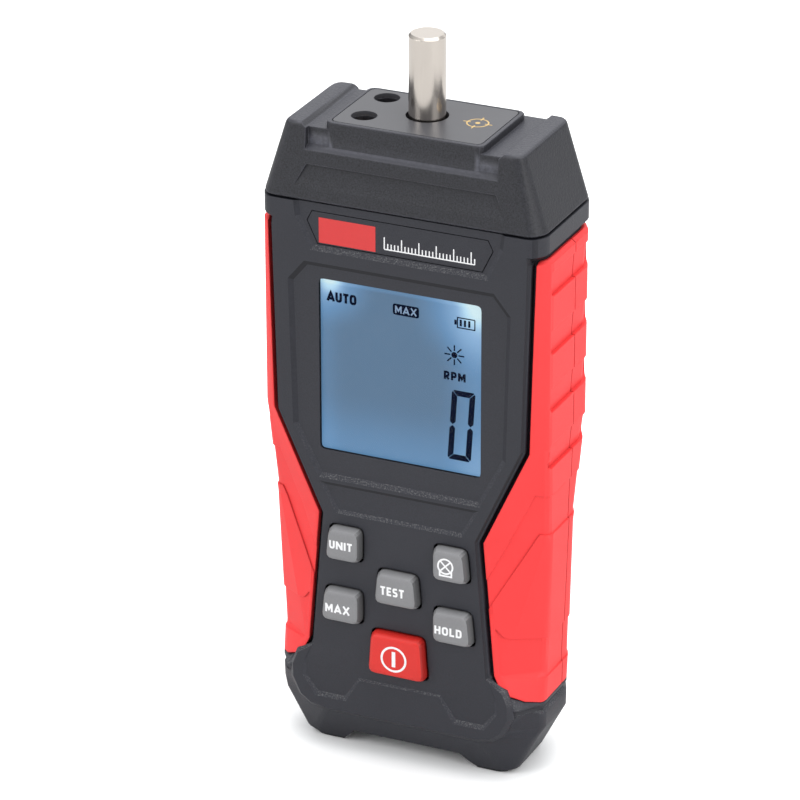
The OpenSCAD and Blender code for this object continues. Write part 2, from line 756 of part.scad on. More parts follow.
module retaining_clip() color("#9a9aa0") {
  translate([0, 0, carrier_bottom - 1.15])
    difference() {
      cylinder(h = 0.9, r = journal_r + 2);
      translate([0, 0, -1])
        cylinder(h = 3, r = journal_r - 0.5);
      translate([0, -journal_r + 0.6, -1])
        cube([10, 2 * journal_r - 1.2, 3]);
    }
}

// Ball bearing drawn as its two rings, shield recess between them
module bearing(z) {
  translate([0, 0, z])
    rotate_extrude()
      polygon([[journal_r + running_gap, 0], [journal_r + 1.2, 0], [journal_r + 1.2, 0.4], [bearing_r - 1.2, 0.4],
        [bearing_r - 1.2, 0], [bearing_r, 0], [bearing_r, bearing_width], [bearing_r - 1.2, bearing_width],
        [bearing_r - 1.2, bearing_width - 0.4], [journal_r + 1.2, bearing_width - 0.4],
        [journal_r + 1.2, bearing_width], [journal_r + running_gap, bearing_width]]);
}

module upper_bearing() color("#b5b6ba") bearing(roof_z - bearing_width);

module lower_bearing() color("#b5b6ba") bearing(lower_seat_z);

// Frame that holds the bearings, the laser and the receiver
module sensor_carrier() color("#4a4d52") {
  w = sensor_offset + carrier_rim;
  low_depth = carrier_depth - 2;
  difference() {
    union() {
      translate([-w, -carrier_depth / 2, carrier_block_z])
        cube([2 * w, carrier_depth, roof_z - carrier_block_z]);
      translate([-column_x - 3, -low_depth / 2, carrier_bottom])
        cube([2 * column_x + 6, low_depth, lower_seat_z + bearing_width - carrier_bottom]);
      for (k = [-1, 1])
        translate([k * (column_x + 1.5) - 1.5, -column_depth / 2, carrier_bottom + 1])
          cube([3, column_depth, carrier_block_z - carrier_bottom]);
    }
    translate([0, 0, roof_z - bearing_width])
      cylinder(h = 20, r = bearing_r + 0.02);
    translate([0, 0, lower_seat_z])
      cylinder(h = bearing_width + 1, r = bearing_r + 0.02);
    translate([0, 0, carrier_bottom - 1])
      cylinder(h = 60, r = journal_r + 1);
    for (k = [-1, 1])
      translate([-sensor_offset, k * sensor_pitch / 2, carrier_block_z - 5])
        cylinder(h = 40, d = sensor_hole + 0.6);
  }
}

// Light gate around the rim of the encoder disc
module fork_sensor() color("#1d1d20") {
  z = lower_seat_z + bearing_width;
  difference() {
    translate([column_x - 4.6, -3, z])
      cube([4.6, 6, 2 * (disc_z - z) + 1]);
    translate([column_x - 6, -4, disc_z - 0.8])
      cube([6 - 0.8, 8, 2.6]);
  }
}

module laser_module() color("#b08a3c") {
  d = sensor_hole + 0.4;
  translate([-sensor_offset, -sensor_pitch / 2, 0])
    difference() {
      translate([0, 0, carrier_block_z - 4])
        cylinder(h = roof_z - carrier_block_z + 3.9, d = d);
      translate([0, 0, roof_z - 1.2])
        cylinder(h = 3, d = d - 2.4);
    }
}

module receiver_lens() color("#8c2f3a") {
  d = sensor_hole + 0.4;
  translate([-sensor_offset, sensor_pitch / 2, roof_z - 2.6])
    rotate_extrude()
      polygon(concat([[0, 0], [d / 2, 0]], [for (k = [0:6]) [d / 2 * cos(k * 15), 1.2 + 1.3 * sin(k * 15)]]));
}

module receiver_diode() color("#26262a") {
  translate([-sensor_offset, sensor_pitch / 2, carrier_block_z - 1.5])
    cylinder(h = roof_z - 2.65 - carrier_block_z + 1.5, d = sensor_hole);
}

// Cover with a ribbed thumb field and a latch tongue
module battery_cover() color("#3c3c40") {
  difference() {
    face_prism(soft(box_outline(cover_half, bay_bottom - 2.2, bay_top + 2.2), 1.4, 3), cover_y + 0.02, rear_y);
    for (k = [0:4])
      translate([-9, rear_y - 0.5, bay_top - 10 + k * 2])
        cube([18, 1, 1]);
    translate([0, rear_y + 4.2, bay_top + 4.4])
      rotate([0, 90, 0])
        cylinder(h = 12, r = 5.4, center = true);
  }
}

// Round cell standing on its flat end, or on its nub when turned
module cell(x, turned) {
  low = turned ? contact_thickness : contact_thickness + spring_length;
  r = cell_diameter / 2;
  nub = turned ? cell_length : 0;
  dir = turned ? -1 : 1;
  translate([x, cell_y, bay_bottom + low + nub])
    mirror([0, 0, turned ? 1 : 0])
      rotate_extrude()
        polygon([[0, 0.2], [r - 1.4, 0.2], [r - 1.2, 0], [r - 0.3, 0], [r, 0.3], [r, cell_length - 1.5],
          [r - 0.4, cell_length - 1.1], [1.9, cell_length - 1.1], [1.9, cell_length], [0, cell_length]]);
}

module cell_left() color("#3a5d8a") cell(-cell_pitch, false);

module cell_middle() color("#3a5d8a") cell(0, true);

module cell_right() color("#3a5d8a") cell(cell_pitch, false);

// Coil drawn as a chain of rings that widens to its foot
module coil(x, z, dir) {
  turns = 5;
  r = 0.52 * spring_length / turns;
  step = (spring_length - 2 * r - 0.04) / (turns - 1);
  translate([x, cell_y, z])
    mirror([0, 0, dir > 0 ? 0 : 1])
      for (k = [0:turns - 1])
        translate([0, 0, r + 0.02 + step * k])
          rotate_extrude()
            translate([3.9 - k * 0.35, 0])
              circle(r = r, $fn = 16);
}

module cell_springs() color("#c9c9cc") {
  coil(-cell_pitch, bay_bottom + contact_thickness, 1);
  coil(0, bay_top - contact_thickness, -1);
  coil(cell_pitch, bay_bottom + contact_thickness, 1);
}

module cell_plates() color("#c9c9cc") {
  w = 2 * bay_half - 0.4;
  for (z = [bay_bottom + 0.02, bay_top - contact_thickness])
    translate([-w / 2, cell_y - 4.2, z])
      cube([w, 8.4, contact_thickness - 0.02]);
}

// Cross-head case screws, put in from the rear
module case_screw(p) {
  seat = rear_y - 3.4;
  difference() {
    union() {
      rod_y(p[0], p[1], screw_r, split_y - 8, seat + 0.5);
      rod_y(p[0], p[1], screw_head_r, seat, seat + 1.8);
    }
    for (a = [0, 90])
      translate([p[0], seat + 1.8, p[1]])
        rotate([0, a, 0])
          cube([3, 1.6, 0.7], center = true);
  }
}

module case_screws() color("#8d8f94") {
  for (k = [-1, 1]) {
    case_screw([k * upper_screw[0], upper_screw[1]]);
    case_screw([k * lower_screw[0], lower_screw[1]]);
  }
}

front_shell();
rear_shell();
head_cap();
sensor_plate();
badge_plate();
left_front_grip();
right_front_grip();
left_rear_grip();
right_rear_grip();
display_window();
lcd_panel();
backlight();
main_board();
tact_switches();
unit_key();
light_key();
test_key();
max_key();
hold_key();
power_key();
spindle();
encoder_disc();
retaining_clip();
upper_bearing();
lower_bearing();
sensor_carrier();
fork_sensor();
laser_module();
receiver_lens();
receiver_diode();
battery_cover();
cell_left();
cell_middle();
cell_right();
cell_springs();
cell_plates();
case_screws();
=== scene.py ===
"""Looks of the hand-held tachometer: dressed copies of the CAD nodes, printed marks, display and studio."""
import json
import math

import bmesh
import bpy
from mathutils import Matrix, Vector
from mathutils.bvhtree import BVHTree


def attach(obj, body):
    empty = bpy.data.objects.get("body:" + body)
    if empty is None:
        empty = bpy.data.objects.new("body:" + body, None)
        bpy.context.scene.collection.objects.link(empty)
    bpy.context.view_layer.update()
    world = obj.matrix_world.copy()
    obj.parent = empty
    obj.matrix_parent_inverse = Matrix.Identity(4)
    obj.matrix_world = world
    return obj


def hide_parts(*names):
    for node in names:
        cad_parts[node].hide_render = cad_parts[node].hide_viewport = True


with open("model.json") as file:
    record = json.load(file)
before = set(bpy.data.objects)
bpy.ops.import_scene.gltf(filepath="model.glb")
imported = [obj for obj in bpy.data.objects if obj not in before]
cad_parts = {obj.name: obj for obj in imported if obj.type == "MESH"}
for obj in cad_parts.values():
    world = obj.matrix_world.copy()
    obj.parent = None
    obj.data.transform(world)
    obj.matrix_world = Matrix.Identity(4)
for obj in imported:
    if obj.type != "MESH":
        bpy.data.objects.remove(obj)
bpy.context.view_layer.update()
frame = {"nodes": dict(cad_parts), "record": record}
NODES = frame["nodes"]
BODY = {node: body for body, nodes in frame["record"]["behaviour"]["bodies"].items() for node in nodes}
SLOT = {part["node"]: part["material_slot"] for part in frame["record"]["subparts"]}
MM = 0.001


# Materials

class Paint:
    """A node material with a Principled shader and helpers for procedural detail in object space."""

    def __init__(self, name):
        self.name = name
        self.material = bpy.data.materials.new(name)
        self.material.use_nodes = True
        self.tree = self.material.node_tree
        self.tree.nodes.clear()
        self.shader = self.add("ShaderNodeBsdfPrincipled")
        self.link(self.shader.outputs[0], self.add("ShaderNodeOutputMaterial").inputs[0])
        self.place = self.add("ShaderNodeTexCoord").outputs["Object"]

    def add(self, kind, **settings):
        node = self.tree.nodes.new(kind)
        for key, value in settings.items():
            setattr(node, key, value)
        return node

    def link(self, out, into):
        self.tree.links.new(out, into)

    def set(self, **values):
        """Fixed shader inputs, named with _ in place of a space."""
        for key, value in values.items():
            self.shader.inputs[key.replace("_", " ")].default_value = value

    def into(self, out, socket):
        self.link(out, self.shader.inputs[socket])

    def split(self, vector):
        """The X, Y and Z outputs of a vector."""
        node = self.add("ShaderNodeSeparateXYZ")
        self.link(vector, node.inputs[0])
        return node.outputs

    def face_normal(self):
        return self.add("ShaderNodeNewGeometry").outputs["True Normal"]

    def stretch(self, scale):
        node = self.add("ShaderNodeMapping")
        node.inputs["Scale"].default_value = scale
        self.link(self.place, node.inputs["Vector"])
        return node.outputs[0]

    def noise(self, scale, detail=2.0, rough=0.5, vector=None):
        node = self.add("ShaderNodeTexNoise")
        node.inputs["Scale"].default_value = scale
        node.inputs["Detail"].default_value = detail
        node.inputs["Roughness"].default_value = rough
        self.link(vector or self.place, node.inputs["Vector"])
        return node.outputs["Fac"]

    def cells(self, scale):
        node = self.add("ShaderNodeTexVoronoi")
        node.inputs["Scale"].default_value = scale
        self.link(self.place, node.inputs["Vector"])
        return node.outputs["Distance"]

    def ramp(self, value, *stops):
        """Colour ramp over a value, with stops of (position, colour)."""
        node = self.add("ShaderNodeValToRGB")
        elements = node.color_ramp.elements
        while len(elements) < len(stops):
            elements.new(0.5)
        for element, (position, colour) in zip(elements, stops):
            element.position = position
            element.color = (*colour, 1)
        self.link(value, node.inputs[0])
        return node.outputs[0]

    def span(self, value, start, end, low=0, high=1, smooth=False):
        """Maps a value between start and end to low and high, and holds it at both ends."""
        node = self.add("ShaderNodeMapRange")
        if smooth:
            node.interpolation_type = "SMOOTHSTEP"
        for key, number in zip(("From Min", "From Max", "To Min", "To Max"), (start, end, low, high)):
            node.inputs[key].default_value = number
        self.link(value, node.inputs["Value"])
        return node.outputs[0]

    def math(self, how, first, second):
        node = self.add("ShaderNodeMath", operation=how)
        self.link(first, node.inputs[0])
        self.link(second, node.inputs[1])
        return node.outputs[0]

    def both(self, first, second):
        """The product of two masks."""
        return self.math("MULTIPLY", first, second)

    def mix(self, factor, first, second, blend="MIX"):
        """Colour mix: factor, first and second are outputs, or fixed values."""
        node = self.add("ShaderNodeMix", data_type="RGBA", blend_type=blend)
        for socket, value in zip((node.inputs[0], node.inputs[6], node.inputs[7]), (factor, first, second)):
            if isinstance(value, bpy.types.NodeSocket):
                self.link(value, socket)
            else:
                socket.default_value = value if isinstance(value, (int, float)) else (*value, 1)
        return node.outputs[2]

    def round_edge(self, radius):
        """Normal with the edges rounded to a radius (mm)."""
        node = self.add("ShaderNodeBevel", samples=4)
        node.inputs["Radius"].default_value = radius * MM
        return node.outputs[0]

    def edge_mask(self, rounded_normal):
        """1 along moulded edges, 0 on open faces."""
        dot = self.add("ShaderNodeVectorMath", operation="DOT_PRODUCT")
        self.link(rounded_normal, dot.inputs[0])
        self.link(self.face_normal(), dot.inputs[1])
        return self.span(dot.outputs["Value"], 0.985, 0.86)

    def cavity(self, reach, weight):
        """Weight in narrow gaps and inner corners from ambient occlusion, 0 on open faces; a mask for painted
        shade.
        """
        node = self.add("ShaderNodeAmbientOcclusion", samples=6)
        node.inputs["Distance"].default_value = reach * MM
        return self.span(node.outputs["AO"], 0.3, 0.8, weight, 0)

    def bump(self, height, strength, depth, normal=None):
        node = self.add("ShaderNodeBump")
        node.inputs["Strength"].default_value = strength
        node.inputs["Distance"].default_value = depth * MM
        self.link(height, node.inputs["Height"])
        if normal:
            self.link(normal, node.inputs["Normal"])
        return node.outputs[0]

    def near(self, point, reach, weight):
        """Weight at a point in space, fading to 0 at the reach (mm)."""
        distance = self.add("ShaderNodeVectorMath", operation="DISTANCE")
        distance.inputs[1].default_value = Vector(point) * MM
        self.link(self.place, distance.inputs[0])
        fade = self.span(distance.outputs["Value"], 0, reach * MM, 1, 0, smooth=True)
        return self.span(fade, 0, 1, 0, weight)


PAINT = {}


def keep(paint):
    PAINT[paint.name] = paint.material


def times(colour, factor):
    return tuple(min(1.0, part * factor) for part in colour)


# Ranges on the case (m): heights where masks fade in above the feet and the base, and depth of the panel
ABOVE_FEET = (0.024, 0.028)
ABOVE_BASE = (0.02, 0.022)
PANEL_FRONT = (-0.0138, -0.0139)
# Colour of the painted glints on slopes that face upwards
GLINT = (0.16, 0.16, 0.163)
# Reach (mm) of the painted shade in narrow gaps and inner corners
CAVITY_REACH = 1.4


def panel_steps(paint, base, colour, facing, slope_glint):
    """Painted glints on upward slopes and painted shade on undersides above the feet, mixed into the base
    colour.

    Also gives a mask for painted shade on the flanks beside the front panel's steps."""
    place = paint.split(paint.place)
    slope = paint.both(paint.span(facing["Z"], 0.2, 0.45), paint.span(facing["Z"], 0.97, 0.8))
    # Painted glint: bright grain on slopes that face upwards
    glint = paint.both(slope, paint.span(paint.noise(3600, 3, 0.75), 0.5, 0.64, 0, slope_glint))
    base = paint.mix(glint, base, GLINT)
    # Painted shade: faces that look downwards above the feet made darker
    underside_shade = paint.both(paint.span(facing["Z"], -0.1, -0.35, 0, 0.7), paint.span(place["Z"], *ABOVE_FEET))
    base = paint.mix(underside_shade, base, times(colour, 0.25))
    # Painted shade: flanks of the front panel's steps made darker, through the gap mask
    flank_shade = paint.both(paint.span(facing["Y"], -0.97, -0.88, 0, 0.3), paint.span(facing["Z"], 0.3, 0.1))
    field = paint.both(paint.span(place["Y"], *PANEL_FRONT), paint.span(place["Z"], *ABOVE_BASE))
    return base, paint.both(flank_shade, field)


def moulded(name, colour, grain=4300.0, contrast=0.22, rough=(0.42, 0.6), depth=0.035, strength=0.35,
            edge=0.3, shine=0.25, spec=0.4, slope_glint=0.0, crevice_shade=0.7, top_highlight=0.0, side_shade=0.0):
    """Spark-eroded plastic or rubber: fine grain, faint clouding, painted highlights on edges, painted shade
    in inner corners.

    slope_glint sets a painted glint on slopes that face upwards, crevice_shade the painted shade in narrow
    gaps, top_highlight a painted highlight on level upper faces and side_shade painted shade on left and
    right flanks."""
    paint = Paint(name)
    fine = paint.noise(grain, 3, 0.6)
    pits = paint.cells(grain * 0.55)
    cloud = paint.noise(70, 3, 0.55)
    rounded_normal = paint.round_edge(edge)
    facing = paint.split(paint.face_normal())
    dark, pale = times(colour, 1 - contrast), times(colour, 1 + contrast)
    base = paint.ramp(fine, (0.3, dark), (0.5, colour), (0.72, pale))
    shade = paint.ramp(cloud, (0.35, (0.94, 0.94, 0.94)), (0.65, (1, 1, 1)))
    base = paint.mix(1.0, base, shade, "MULTIPLY")
    # Painted highlight: moulded edges made paler in patches, as much as shine sets
    patchy = paint.span(paint.noise(900, 2), 0.35, 0.65, 0.5, 1)
    painted_edge_highlight = paint.both(paint.edge_mask(rounded_normal), patchy)
    base = paint.mix(paint.span(painted_edge_highlight, 0, 1, 0, 0.85), base, times(colour, 1 + shine * 2))
    # Painted highlight: level upper faces made paler
    if top_highlight:
        base = paint.mix(paint.span(facing["Z"], 0.6, 0.9, 0, top_highlight), base, times(colour, 3))
    # Painted shade: left and right flanks made darker
    if side_shade:
        sideways = paint.both(facing["X"], facing["X"])
        base = paint.mix(paint.span(sideways, 0.15, 0.6, 0, side_shade), base, times(colour, 0.3))
    # Painted shade: gap is a mask of narrow gaps and inner corners, darkened in the base colour below
    gap = paint.cavity(CAVITY_REACH, crevice_shade)
    if slope_glint:
        base, painted_flank_shade = panel_steps(paint, base, colour, facing, slope_glint)
        gap = paint.math("MAXIMUM", gap, painted_flank_shade)
    paint.into(paint.mix(gap, base, times(colour, 0.2)), "Base Color")
    paint.into(paint.span(gap, 0, 1, spec, spec * 0.2), "Specular IOR Level")
    paint.into(paint.span(fine, 0.3, 0.7, *rough), "Roughness")
    paint.into(paint.bump(paint.math("ADD", fine, pits), strength, depth, rounded_normal), "Normal")
    return paint


keep(moulded("case_plastic", (0.0205, 0.0212, 0.0285), grain=4600, contrast=0.3, depth=0.04, strength=0.45,
             shine=0.2, slope_glint=0.7))
keep(moulded("head_plastic", (0.018, 0.0183, 0.023), grain=3200, contrast=0.6, rough=(0.36, 0.6), depth=0.06,
             strength=0.65, edge=0.42, shine=1.6, crevice_shade=0.5, top_highlight=0.6))
keep(moulded("plate_plastic", (0.06, 0.0605, 0.068), grain=6500, contrast=0.1, rough=(0.32, 0.4), depth=0.01,
             strength=0.12, edge=0.25, shine=0.3))
keep(moulded("grip_rubber", (0.83, 0.039, 0.04), grain=5200, contrast=0.06, rough=(0.5, 0.62), depth=0.02,
             strength=0.25, edge=0.45, shine=0.1, spec=0.35, crevice_shade=0.35))
keep(moulded("key_rubber", (0.222, 0.222, 0.229), grain=5200, contrast=0.08, rough=(0.5, 0.62), depth=0.02,
             strength=0.22, shine=0.2, spec=0.35, side_shade=0.85))
keep(moulded("power_key_rubber", (0.64, 0.023, 0.017), grain=5200, contrast=0.06, rough=(0.42, 0.55),
             depth=0.02, strength=0.2, shine=0.15, side_shade=0.55))
keep(moulded("carrier_plastic", (0.05, 0.052, 0.056), grain=3800, contrast=0.15))
keep(moulded("switch_plastic", (0.016, 0.016, 0.018), grain=5000, contrast=0.12))


def metal(name, colour, rough, streaks, tint=0.12, depth=0.004):
    """Ground metal: fine lines along one direction, with cloudy roughness."""
    paint = Paint(name)
    lines = paint.noise(1.0, 3, 0.6, paint.stretch(streaks))
    cloud = paint.noise(160, 3, 0.5)
    paint.into(paint.ramp(lines, (0.3, times(colour, 1 - tint)), (0.7, colour)), "Base Color")
    paint.into(paint.span(paint.math("ADD", lines, cloud), 0.6, 1.4, *rough), "Roughness")
    paint.into(paint.bump(lines, 0.2, depth, paint.round_edge(0.15)), "Normal")
    paint.set(Metallic=1.0)
    return paint


keep(metal("spindle_steel", (0.59, 0.54, 0.49), (0.17, 0.25), (5200, 5200, 160), tint=0.08, depth=0.0012))
keep(metal("bearing_steel", (0.6, 0.6, 0.62), (0.2, 0.3), (500, 500, 9000)))
keep(metal("contact_metal", (0.68, 0.68, 0.7), (0.18, 0.3), (3000, 3000, 900)))
keep(metal("screw_steel", (0.36, 0.36, 0.38), (0.28, 0.4), (5000, 900, 5000)))
keep(metal("laser_brass", (0.7, 0.5, 0.22), (0.2, 0.32), (600, 600, 8000)))

# Display: depth of its front (mm), lamps as x, z, reach (mm) and weight,
# and lit edges as axis, range (m) and weight
LCD_Y = -13.35
LAMPS = ((17.6, 111.5, 6, 0.45), (17.6, 111.0, 17, 0.45), (-16.6, 112.2, 4.5, 0.5), (-17.0, 112.0, 12, 0.36))
LIT_EDGES = (("X", 0.008, 0.019, 0.2), ("X", -0.013, -0.019, 0.09), ("Z", 0.088, 0.0725, 0.18),
             ("Z", 0.1113, 0.112, 0.12))
LCD_BLUES = ((0.0, (0.085, 0.176, 0.299)), (0.22, (0.121, 0.284, 0.513)), (0.5, (0.26, 0.47, 0.747)),
             (0.8, (0.52, 0.81, 1.0)), (1.0, (0.7, 0.93, 1.0)))


def display():
    """Lit display glass: even blue with two lamps glowing into the upper corners."""
    paint = Paint("lcd_glass")
    place = paint.split(paint.place)
    level = paint.span(paint.noise(5200, 2), 0.3, 0.7, -0.006, 0.006)
    for x, z, reach, weight in LAMPS:
        level = paint.math("ADD", level, paint.near((x, LCD_Y, z), reach, weight))
    for axis, start, end, weight in LIT_EDGES:
        level = paint.math("ADD", level, paint.span(place[axis], start, end, 0, weight, smooth=True))
    colour = paint.ramp(level, *LCD_BLUES)
    paint.into(paint.mix(1.0, colour, (0.12, 0.12, 0.12), "MULTIPLY"), "Base Color")
    paint.into(colour, "Emission Color")
    paint.into(paint.span(paint.noise(3000, 2), 0.3, 0.7, 0.35, 0.45), "Roughness")
    paint.set(Emission_Strength=0.8)
    return paint


def clear(name, colour, alpha, rough):
    """Clear plastic or glass with a little dust."""
    paint = Paint(name)
    dust = paint.noise(800, 4, 0.6)
    paint.into(paint.span(dust, 0.3, 0.75, rough, rough + 0.05), "Roughness")
    paint.into(paint.ramp(dust, (0.4, colour), (0.8, times(colour, 0.94))), "Base Color")
    paint.into(paint.bump(paint.noise(120, 2), 0.05, 0.01, paint.round_edge(0.15)), "Normal")
    paint.set(Alpha=alpha, Specular_IOR_Level=0.5)
    return paint


def guide():
    """Milky light guide with moulded dots."""
    paint = Paint("light_guide")
    dots = paint.cells(1400)
    paint.into(paint.ramp(dots, (0.1, (0.95, 0.97, 1.0)), (0.5, (0.78, 0.84, 0.88))), "Base Color")
    paint.into(paint.bump(dots, 0.2, 0.02, paint.round_edge(0.2)), "Normal")
    paint.set(Roughness=0.35)
    return paint


def board():
    """Green solder mask over tracks."""
    paint = Paint("board")
    cloud = paint.noise(260, 2, 0.4)
    tracks = paint.noise(1.0, 1, 0.2, paint.stretch((900, 900, 220)))
    base = paint.ramp(tracks, (0.46, (0.006, 0.06, 0.022)), (0.5, (0.012, 0.11, 0.04)))
    paint.into(paint.mix(paint.span(cloud, 0.4, 0.7, 0, 0.4), base, (0.005, 0.045, 0.018)), "Base Color")
    paint.into(paint.span(tracks, 0.4, 0.6, 0.32, 0.45), "Roughness")
    paint.into(paint.bump(tracks, 0.2, 0.03, paint.round_edge(0.15)), "Normal")
    return paint


# Printed sleeve of the cells: ends of a cell (m) and the two colours
CELL_ENDS = (0.031, 0.081)
SLEEVE_BLUE = (0.02, 0.05, 0.12)
SLEEVE_GREY = (0.3, 0.3, 0.31)


def jacket():
    """Printed cell sleeve: a dark band and a lighter end, with no lettering."""
    paint = Paint("cell_jacket")
    along = paint.span(paint.split(paint.place)["Z"], *CELL_ENDS)
    base = paint.ramp(along, (0.0, SLEEVE_BLUE), (0.64, SLEEVE_BLUE), (0.66, SLEEVE_GREY), (1.0, SLEEVE_GREY))
    wear = paint.span(paint.noise(900, 3), 0.3, 0.7, 0, 0.15)
    paint.into(paint.mix(wear, base, (0.1, 0.12, 0.16)), "Base Color")
    paint.into(paint.span(paint.noise(400, 2), 0.3, 0.7, 0.22, 0.34), "Roughness")
    paint.into(paint.bump(paint.noise(300, 2), 0.1, 0.02), "Normal")
    return paint


keep(display())
keep(clear("window_glass", (0.05, 0.06, 0.07), alpha=0.04, rough=0.02))
keep(clear("lens_glass", (0.12, 0.01, 0.015), alpha=0.85, rough=0.04))
keep(guide())
keep(board())
keep(jacket())


def printed(name, colour, rough=0.45, wear=0.08, scale=2600, metallic=0.0, spec=0.5):
    """Ink or foil: slightly uneven cover with a soft roughness change."""
    paint = Paint(name)
    speck = paint.noise(scale, 3, 0.6)
    paint.into(paint.ramp(speck, (0.25, times(colour, 1 - wear)), (0.6, colour)), "Base Color")
    paint.into(paint.span(speck, 0.3, 0.7, rough, rough + 0.12), "Roughness")
    paint.into(paint.bump(speck, 0.12, 0.006), "Normal")
    paint.set(Metallic=metallic, Specular_IOR_Level=spec)
    return paint.material


WHITE_INK = printed("white_ink", (0.82, 0.82, 0.83))
RED_FOIL = printed("red_foil", (0.595, 0.028, 0.028), rough=0.38, wear=0.05)
GOLD_FOIL = printed("gold_foil", (0.72, 0.5, 0.2), rough=0.3, wear=0.15, scale=3000, metallic=0.9)
DARK_SEGMENT = printed("dark_segment", (0.001, 0.003, 0.016), rough=0.6, wear=0.1, spec=0.0)
# Dark ink used as a painted shadow round the display
FRAME_SHADOW_INK = printed("frame_shadow_ink", (0.008, 0.008, 0.01), rough=0.5, wear=0.1)
LIT_SEGMENT = printed("lit_segment", (0.2, 0.3, 0.45), rough=0.4, wear=0.05)


# Pieces

SHARP_ANGLE = math.radians(28)
FLAT_ANGLE = math.radians(0.4)
SAME_POINT = 2e-6
DRESSED = {}


def new_object(name, mesh, material, body):
    obj = bpy.data.objects.new(name, mesh)
    bpy.context.scene.collection.objects.link(obj)
    obj.data.materials.append(material)
    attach(obj, body)
    return obj


def dress(node):
    """A clean copy of a CAD node with merged facets, sharp moulded edges and flat faces that stay flat."""
    bm = bmesh.new()
    bm.from_mesh(NODES[node].data)
    bmesh.ops.remove_doubles(bm, verts=bm.verts, dist=SAME_POINT)
    bmesh.ops.dissolve_limit(bm, angle_limit=FLAT_ANGLE, verts=bm.verts, edges=bm.edges)
    mesh = bpy.data.meshes.new(node + "_dressed")
    bm.to_mesh(mesh)
    bm.free()
    mesh.shade_smooth()
    mesh.set_sharp_from_angle(angle=SHARP_ANGLE)
    obj = new_object(node + "_dressed", mesh, PAINT[SLOT[node]], BODY[node])
    weighted = obj.modifiers.new("flat faces", "WEIGHTED_NORMAL")
    weighted.keep_sharp = True
    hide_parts(node)
    DRESSED[node] = obj


for name in NODES:
    dress(name)


# Printed marks, with all measures in mm

LAYER_STEP = 0.0015
LAYER_LIMIT = 0.009
STRIP_STEP = 0.6
FAR_ABOVE = 300
FAR_IN_FRONT = -60


class Sheet:
    """Thin printed shapes laid on the front or top of a dressed piece, gathered into one mesh."""

    def __init__(self, onto=None, top=False, level=None, lift=0.003, thick=0.014):
        self.bm = bmesh.new()
        self.tree = None
        if onto:
            self.tree = BVHTree.FromObject(DRESSED[onto], bpy.context.evaluated_depsgraph_get())
        self.top = top
        self.level = level
        self.lift = lift
        self.thick = thick
        self.rise = 0.0

    def ground(self, u, v):
        """Where the surface lies under a point of the sheet."""
        if self.tree is None:
            return self.level
        if self.top:
            return self.tree.ray_cast(Vector((u, v, FAR_ABOVE)) * MM, Vector((0, 0, -1)))[0].z / MM
        return self.tree.ray_cast(Vector((u, FAR_IN_FRONT, v)) * MM, Vector((0, 1, 0)))[0].y / MM

    def vertex(self, u, v, high):
        ground = self.ground(u, v)
        above = self.lift + (self.thick + self.rise if high else 0)
        place = Vector((u, v, ground + above)) if self.top else Vector((u, ground - above, v))
        return self.bm.verts.new(place * MM)

    def next_layer(self):
        """Sets each stroke a hair higher than the last, so that crossing strokes don't share a face."""
        self.rise = (self.rise + LAYER_STEP) % LAYER_LIMIT

    def patch(self, ring):
        """Closed flat prism over a convex ring of (u, v) points, anticlockwise."""
        self.next_layer()
        low = [self.vertex(u, v, False) for u, v in ring]
        high = [self.vertex(u, v, True) for u, v in ring]
        self.bm.faces.new(high)
        self.bm.faces.new(low[::-1])
        for i in range(len(ring)):
            j = (i + 1) % len(ring)
            self.bm.faces.new((low[i], low[j], high[j], high[i]))

    def strip(self, line, width, closed=False):
        """Closed ribbon prism along a polyline with mitred corners."""
        self.next_layer()
        points = finer([Vector(point) for point in line], closed)
        count = len(points)
        rows = []
        for i, point in enumerate(points):
            before = points[i - 1] if i or closed else None
            after = points[(i + 1) % count] if i < count - 1 or closed else None
            arriving = (point - before).normalized() if before else (after - point).normalized()
            leaving = (after - point).normalized() if after else arriving
            square = Vector((-leaving.y, leaving.x))
            mitre = Vector((-arriving.y, arriving.x)) + square
            mitre = mitre.normalized() if mitre.length > 1e-6 else square
            reach = min(2.0, 1 / max(0.3, mitre.dot(square))) * width / 2
            left, right = point + mitre * reach, point - mitre * reach
            corners = ((left, True), (right, True), (right, False), (left, False))
            rows.append([self.vertex(corner.x, corner.y, high) for corner, high in corners])
        for i in range(count if closed else count - 1):
            here, there = rows[i], rows[(i + 1) % count]
            for k in range(4):
                n = (k + 1) % 4
                self.bm.faces.new((here[k], here[n], there[n], there[k]))
        if not closed:
            self.bm.faces.new(rows[0][::-1])
            self.bm.faces.new(rows[-1])

    def word(self, text, box, stroke, gap=0.2):
        """Block letters in a box of left, low, right and high."""
        left, low, right, high = box
        widths = [GLYPHS[letter][0] for letter in text]
        scale = (right - left) / (sum(widths) + gap * (len(text) - 1))
        start = 0.0
        for letter, width in zip(text, widths):
            for closed, line in GLYPHS[letter][1]:
                points = [(left + (start + x) * scale, low + y * (high - low)) for x, y in line]
                self.strip(points, stroke, closed)
            start += width + gap

    def spokes(self, centre, count, inner, outer, stroke):
        """Lines that point away from a centre."""
        for k in range(count):
            x, y = turned(360 * k / count)
            self.strip([(centre[0] + inner * x, centre[1] + inner * y),
                        (centre[0] + outer * x, centre[1] + outer * y)], stroke)

    def done(self, name, material, body):
        bmesh.ops.recalc_face_normals(self.bm, faces=self.bm.faces)
        mesh = bpy.data.meshes.new(name)
        self.bm.to_mesh(mesh)
        self.bm.free()
        new_object(name, mesh, material, body)


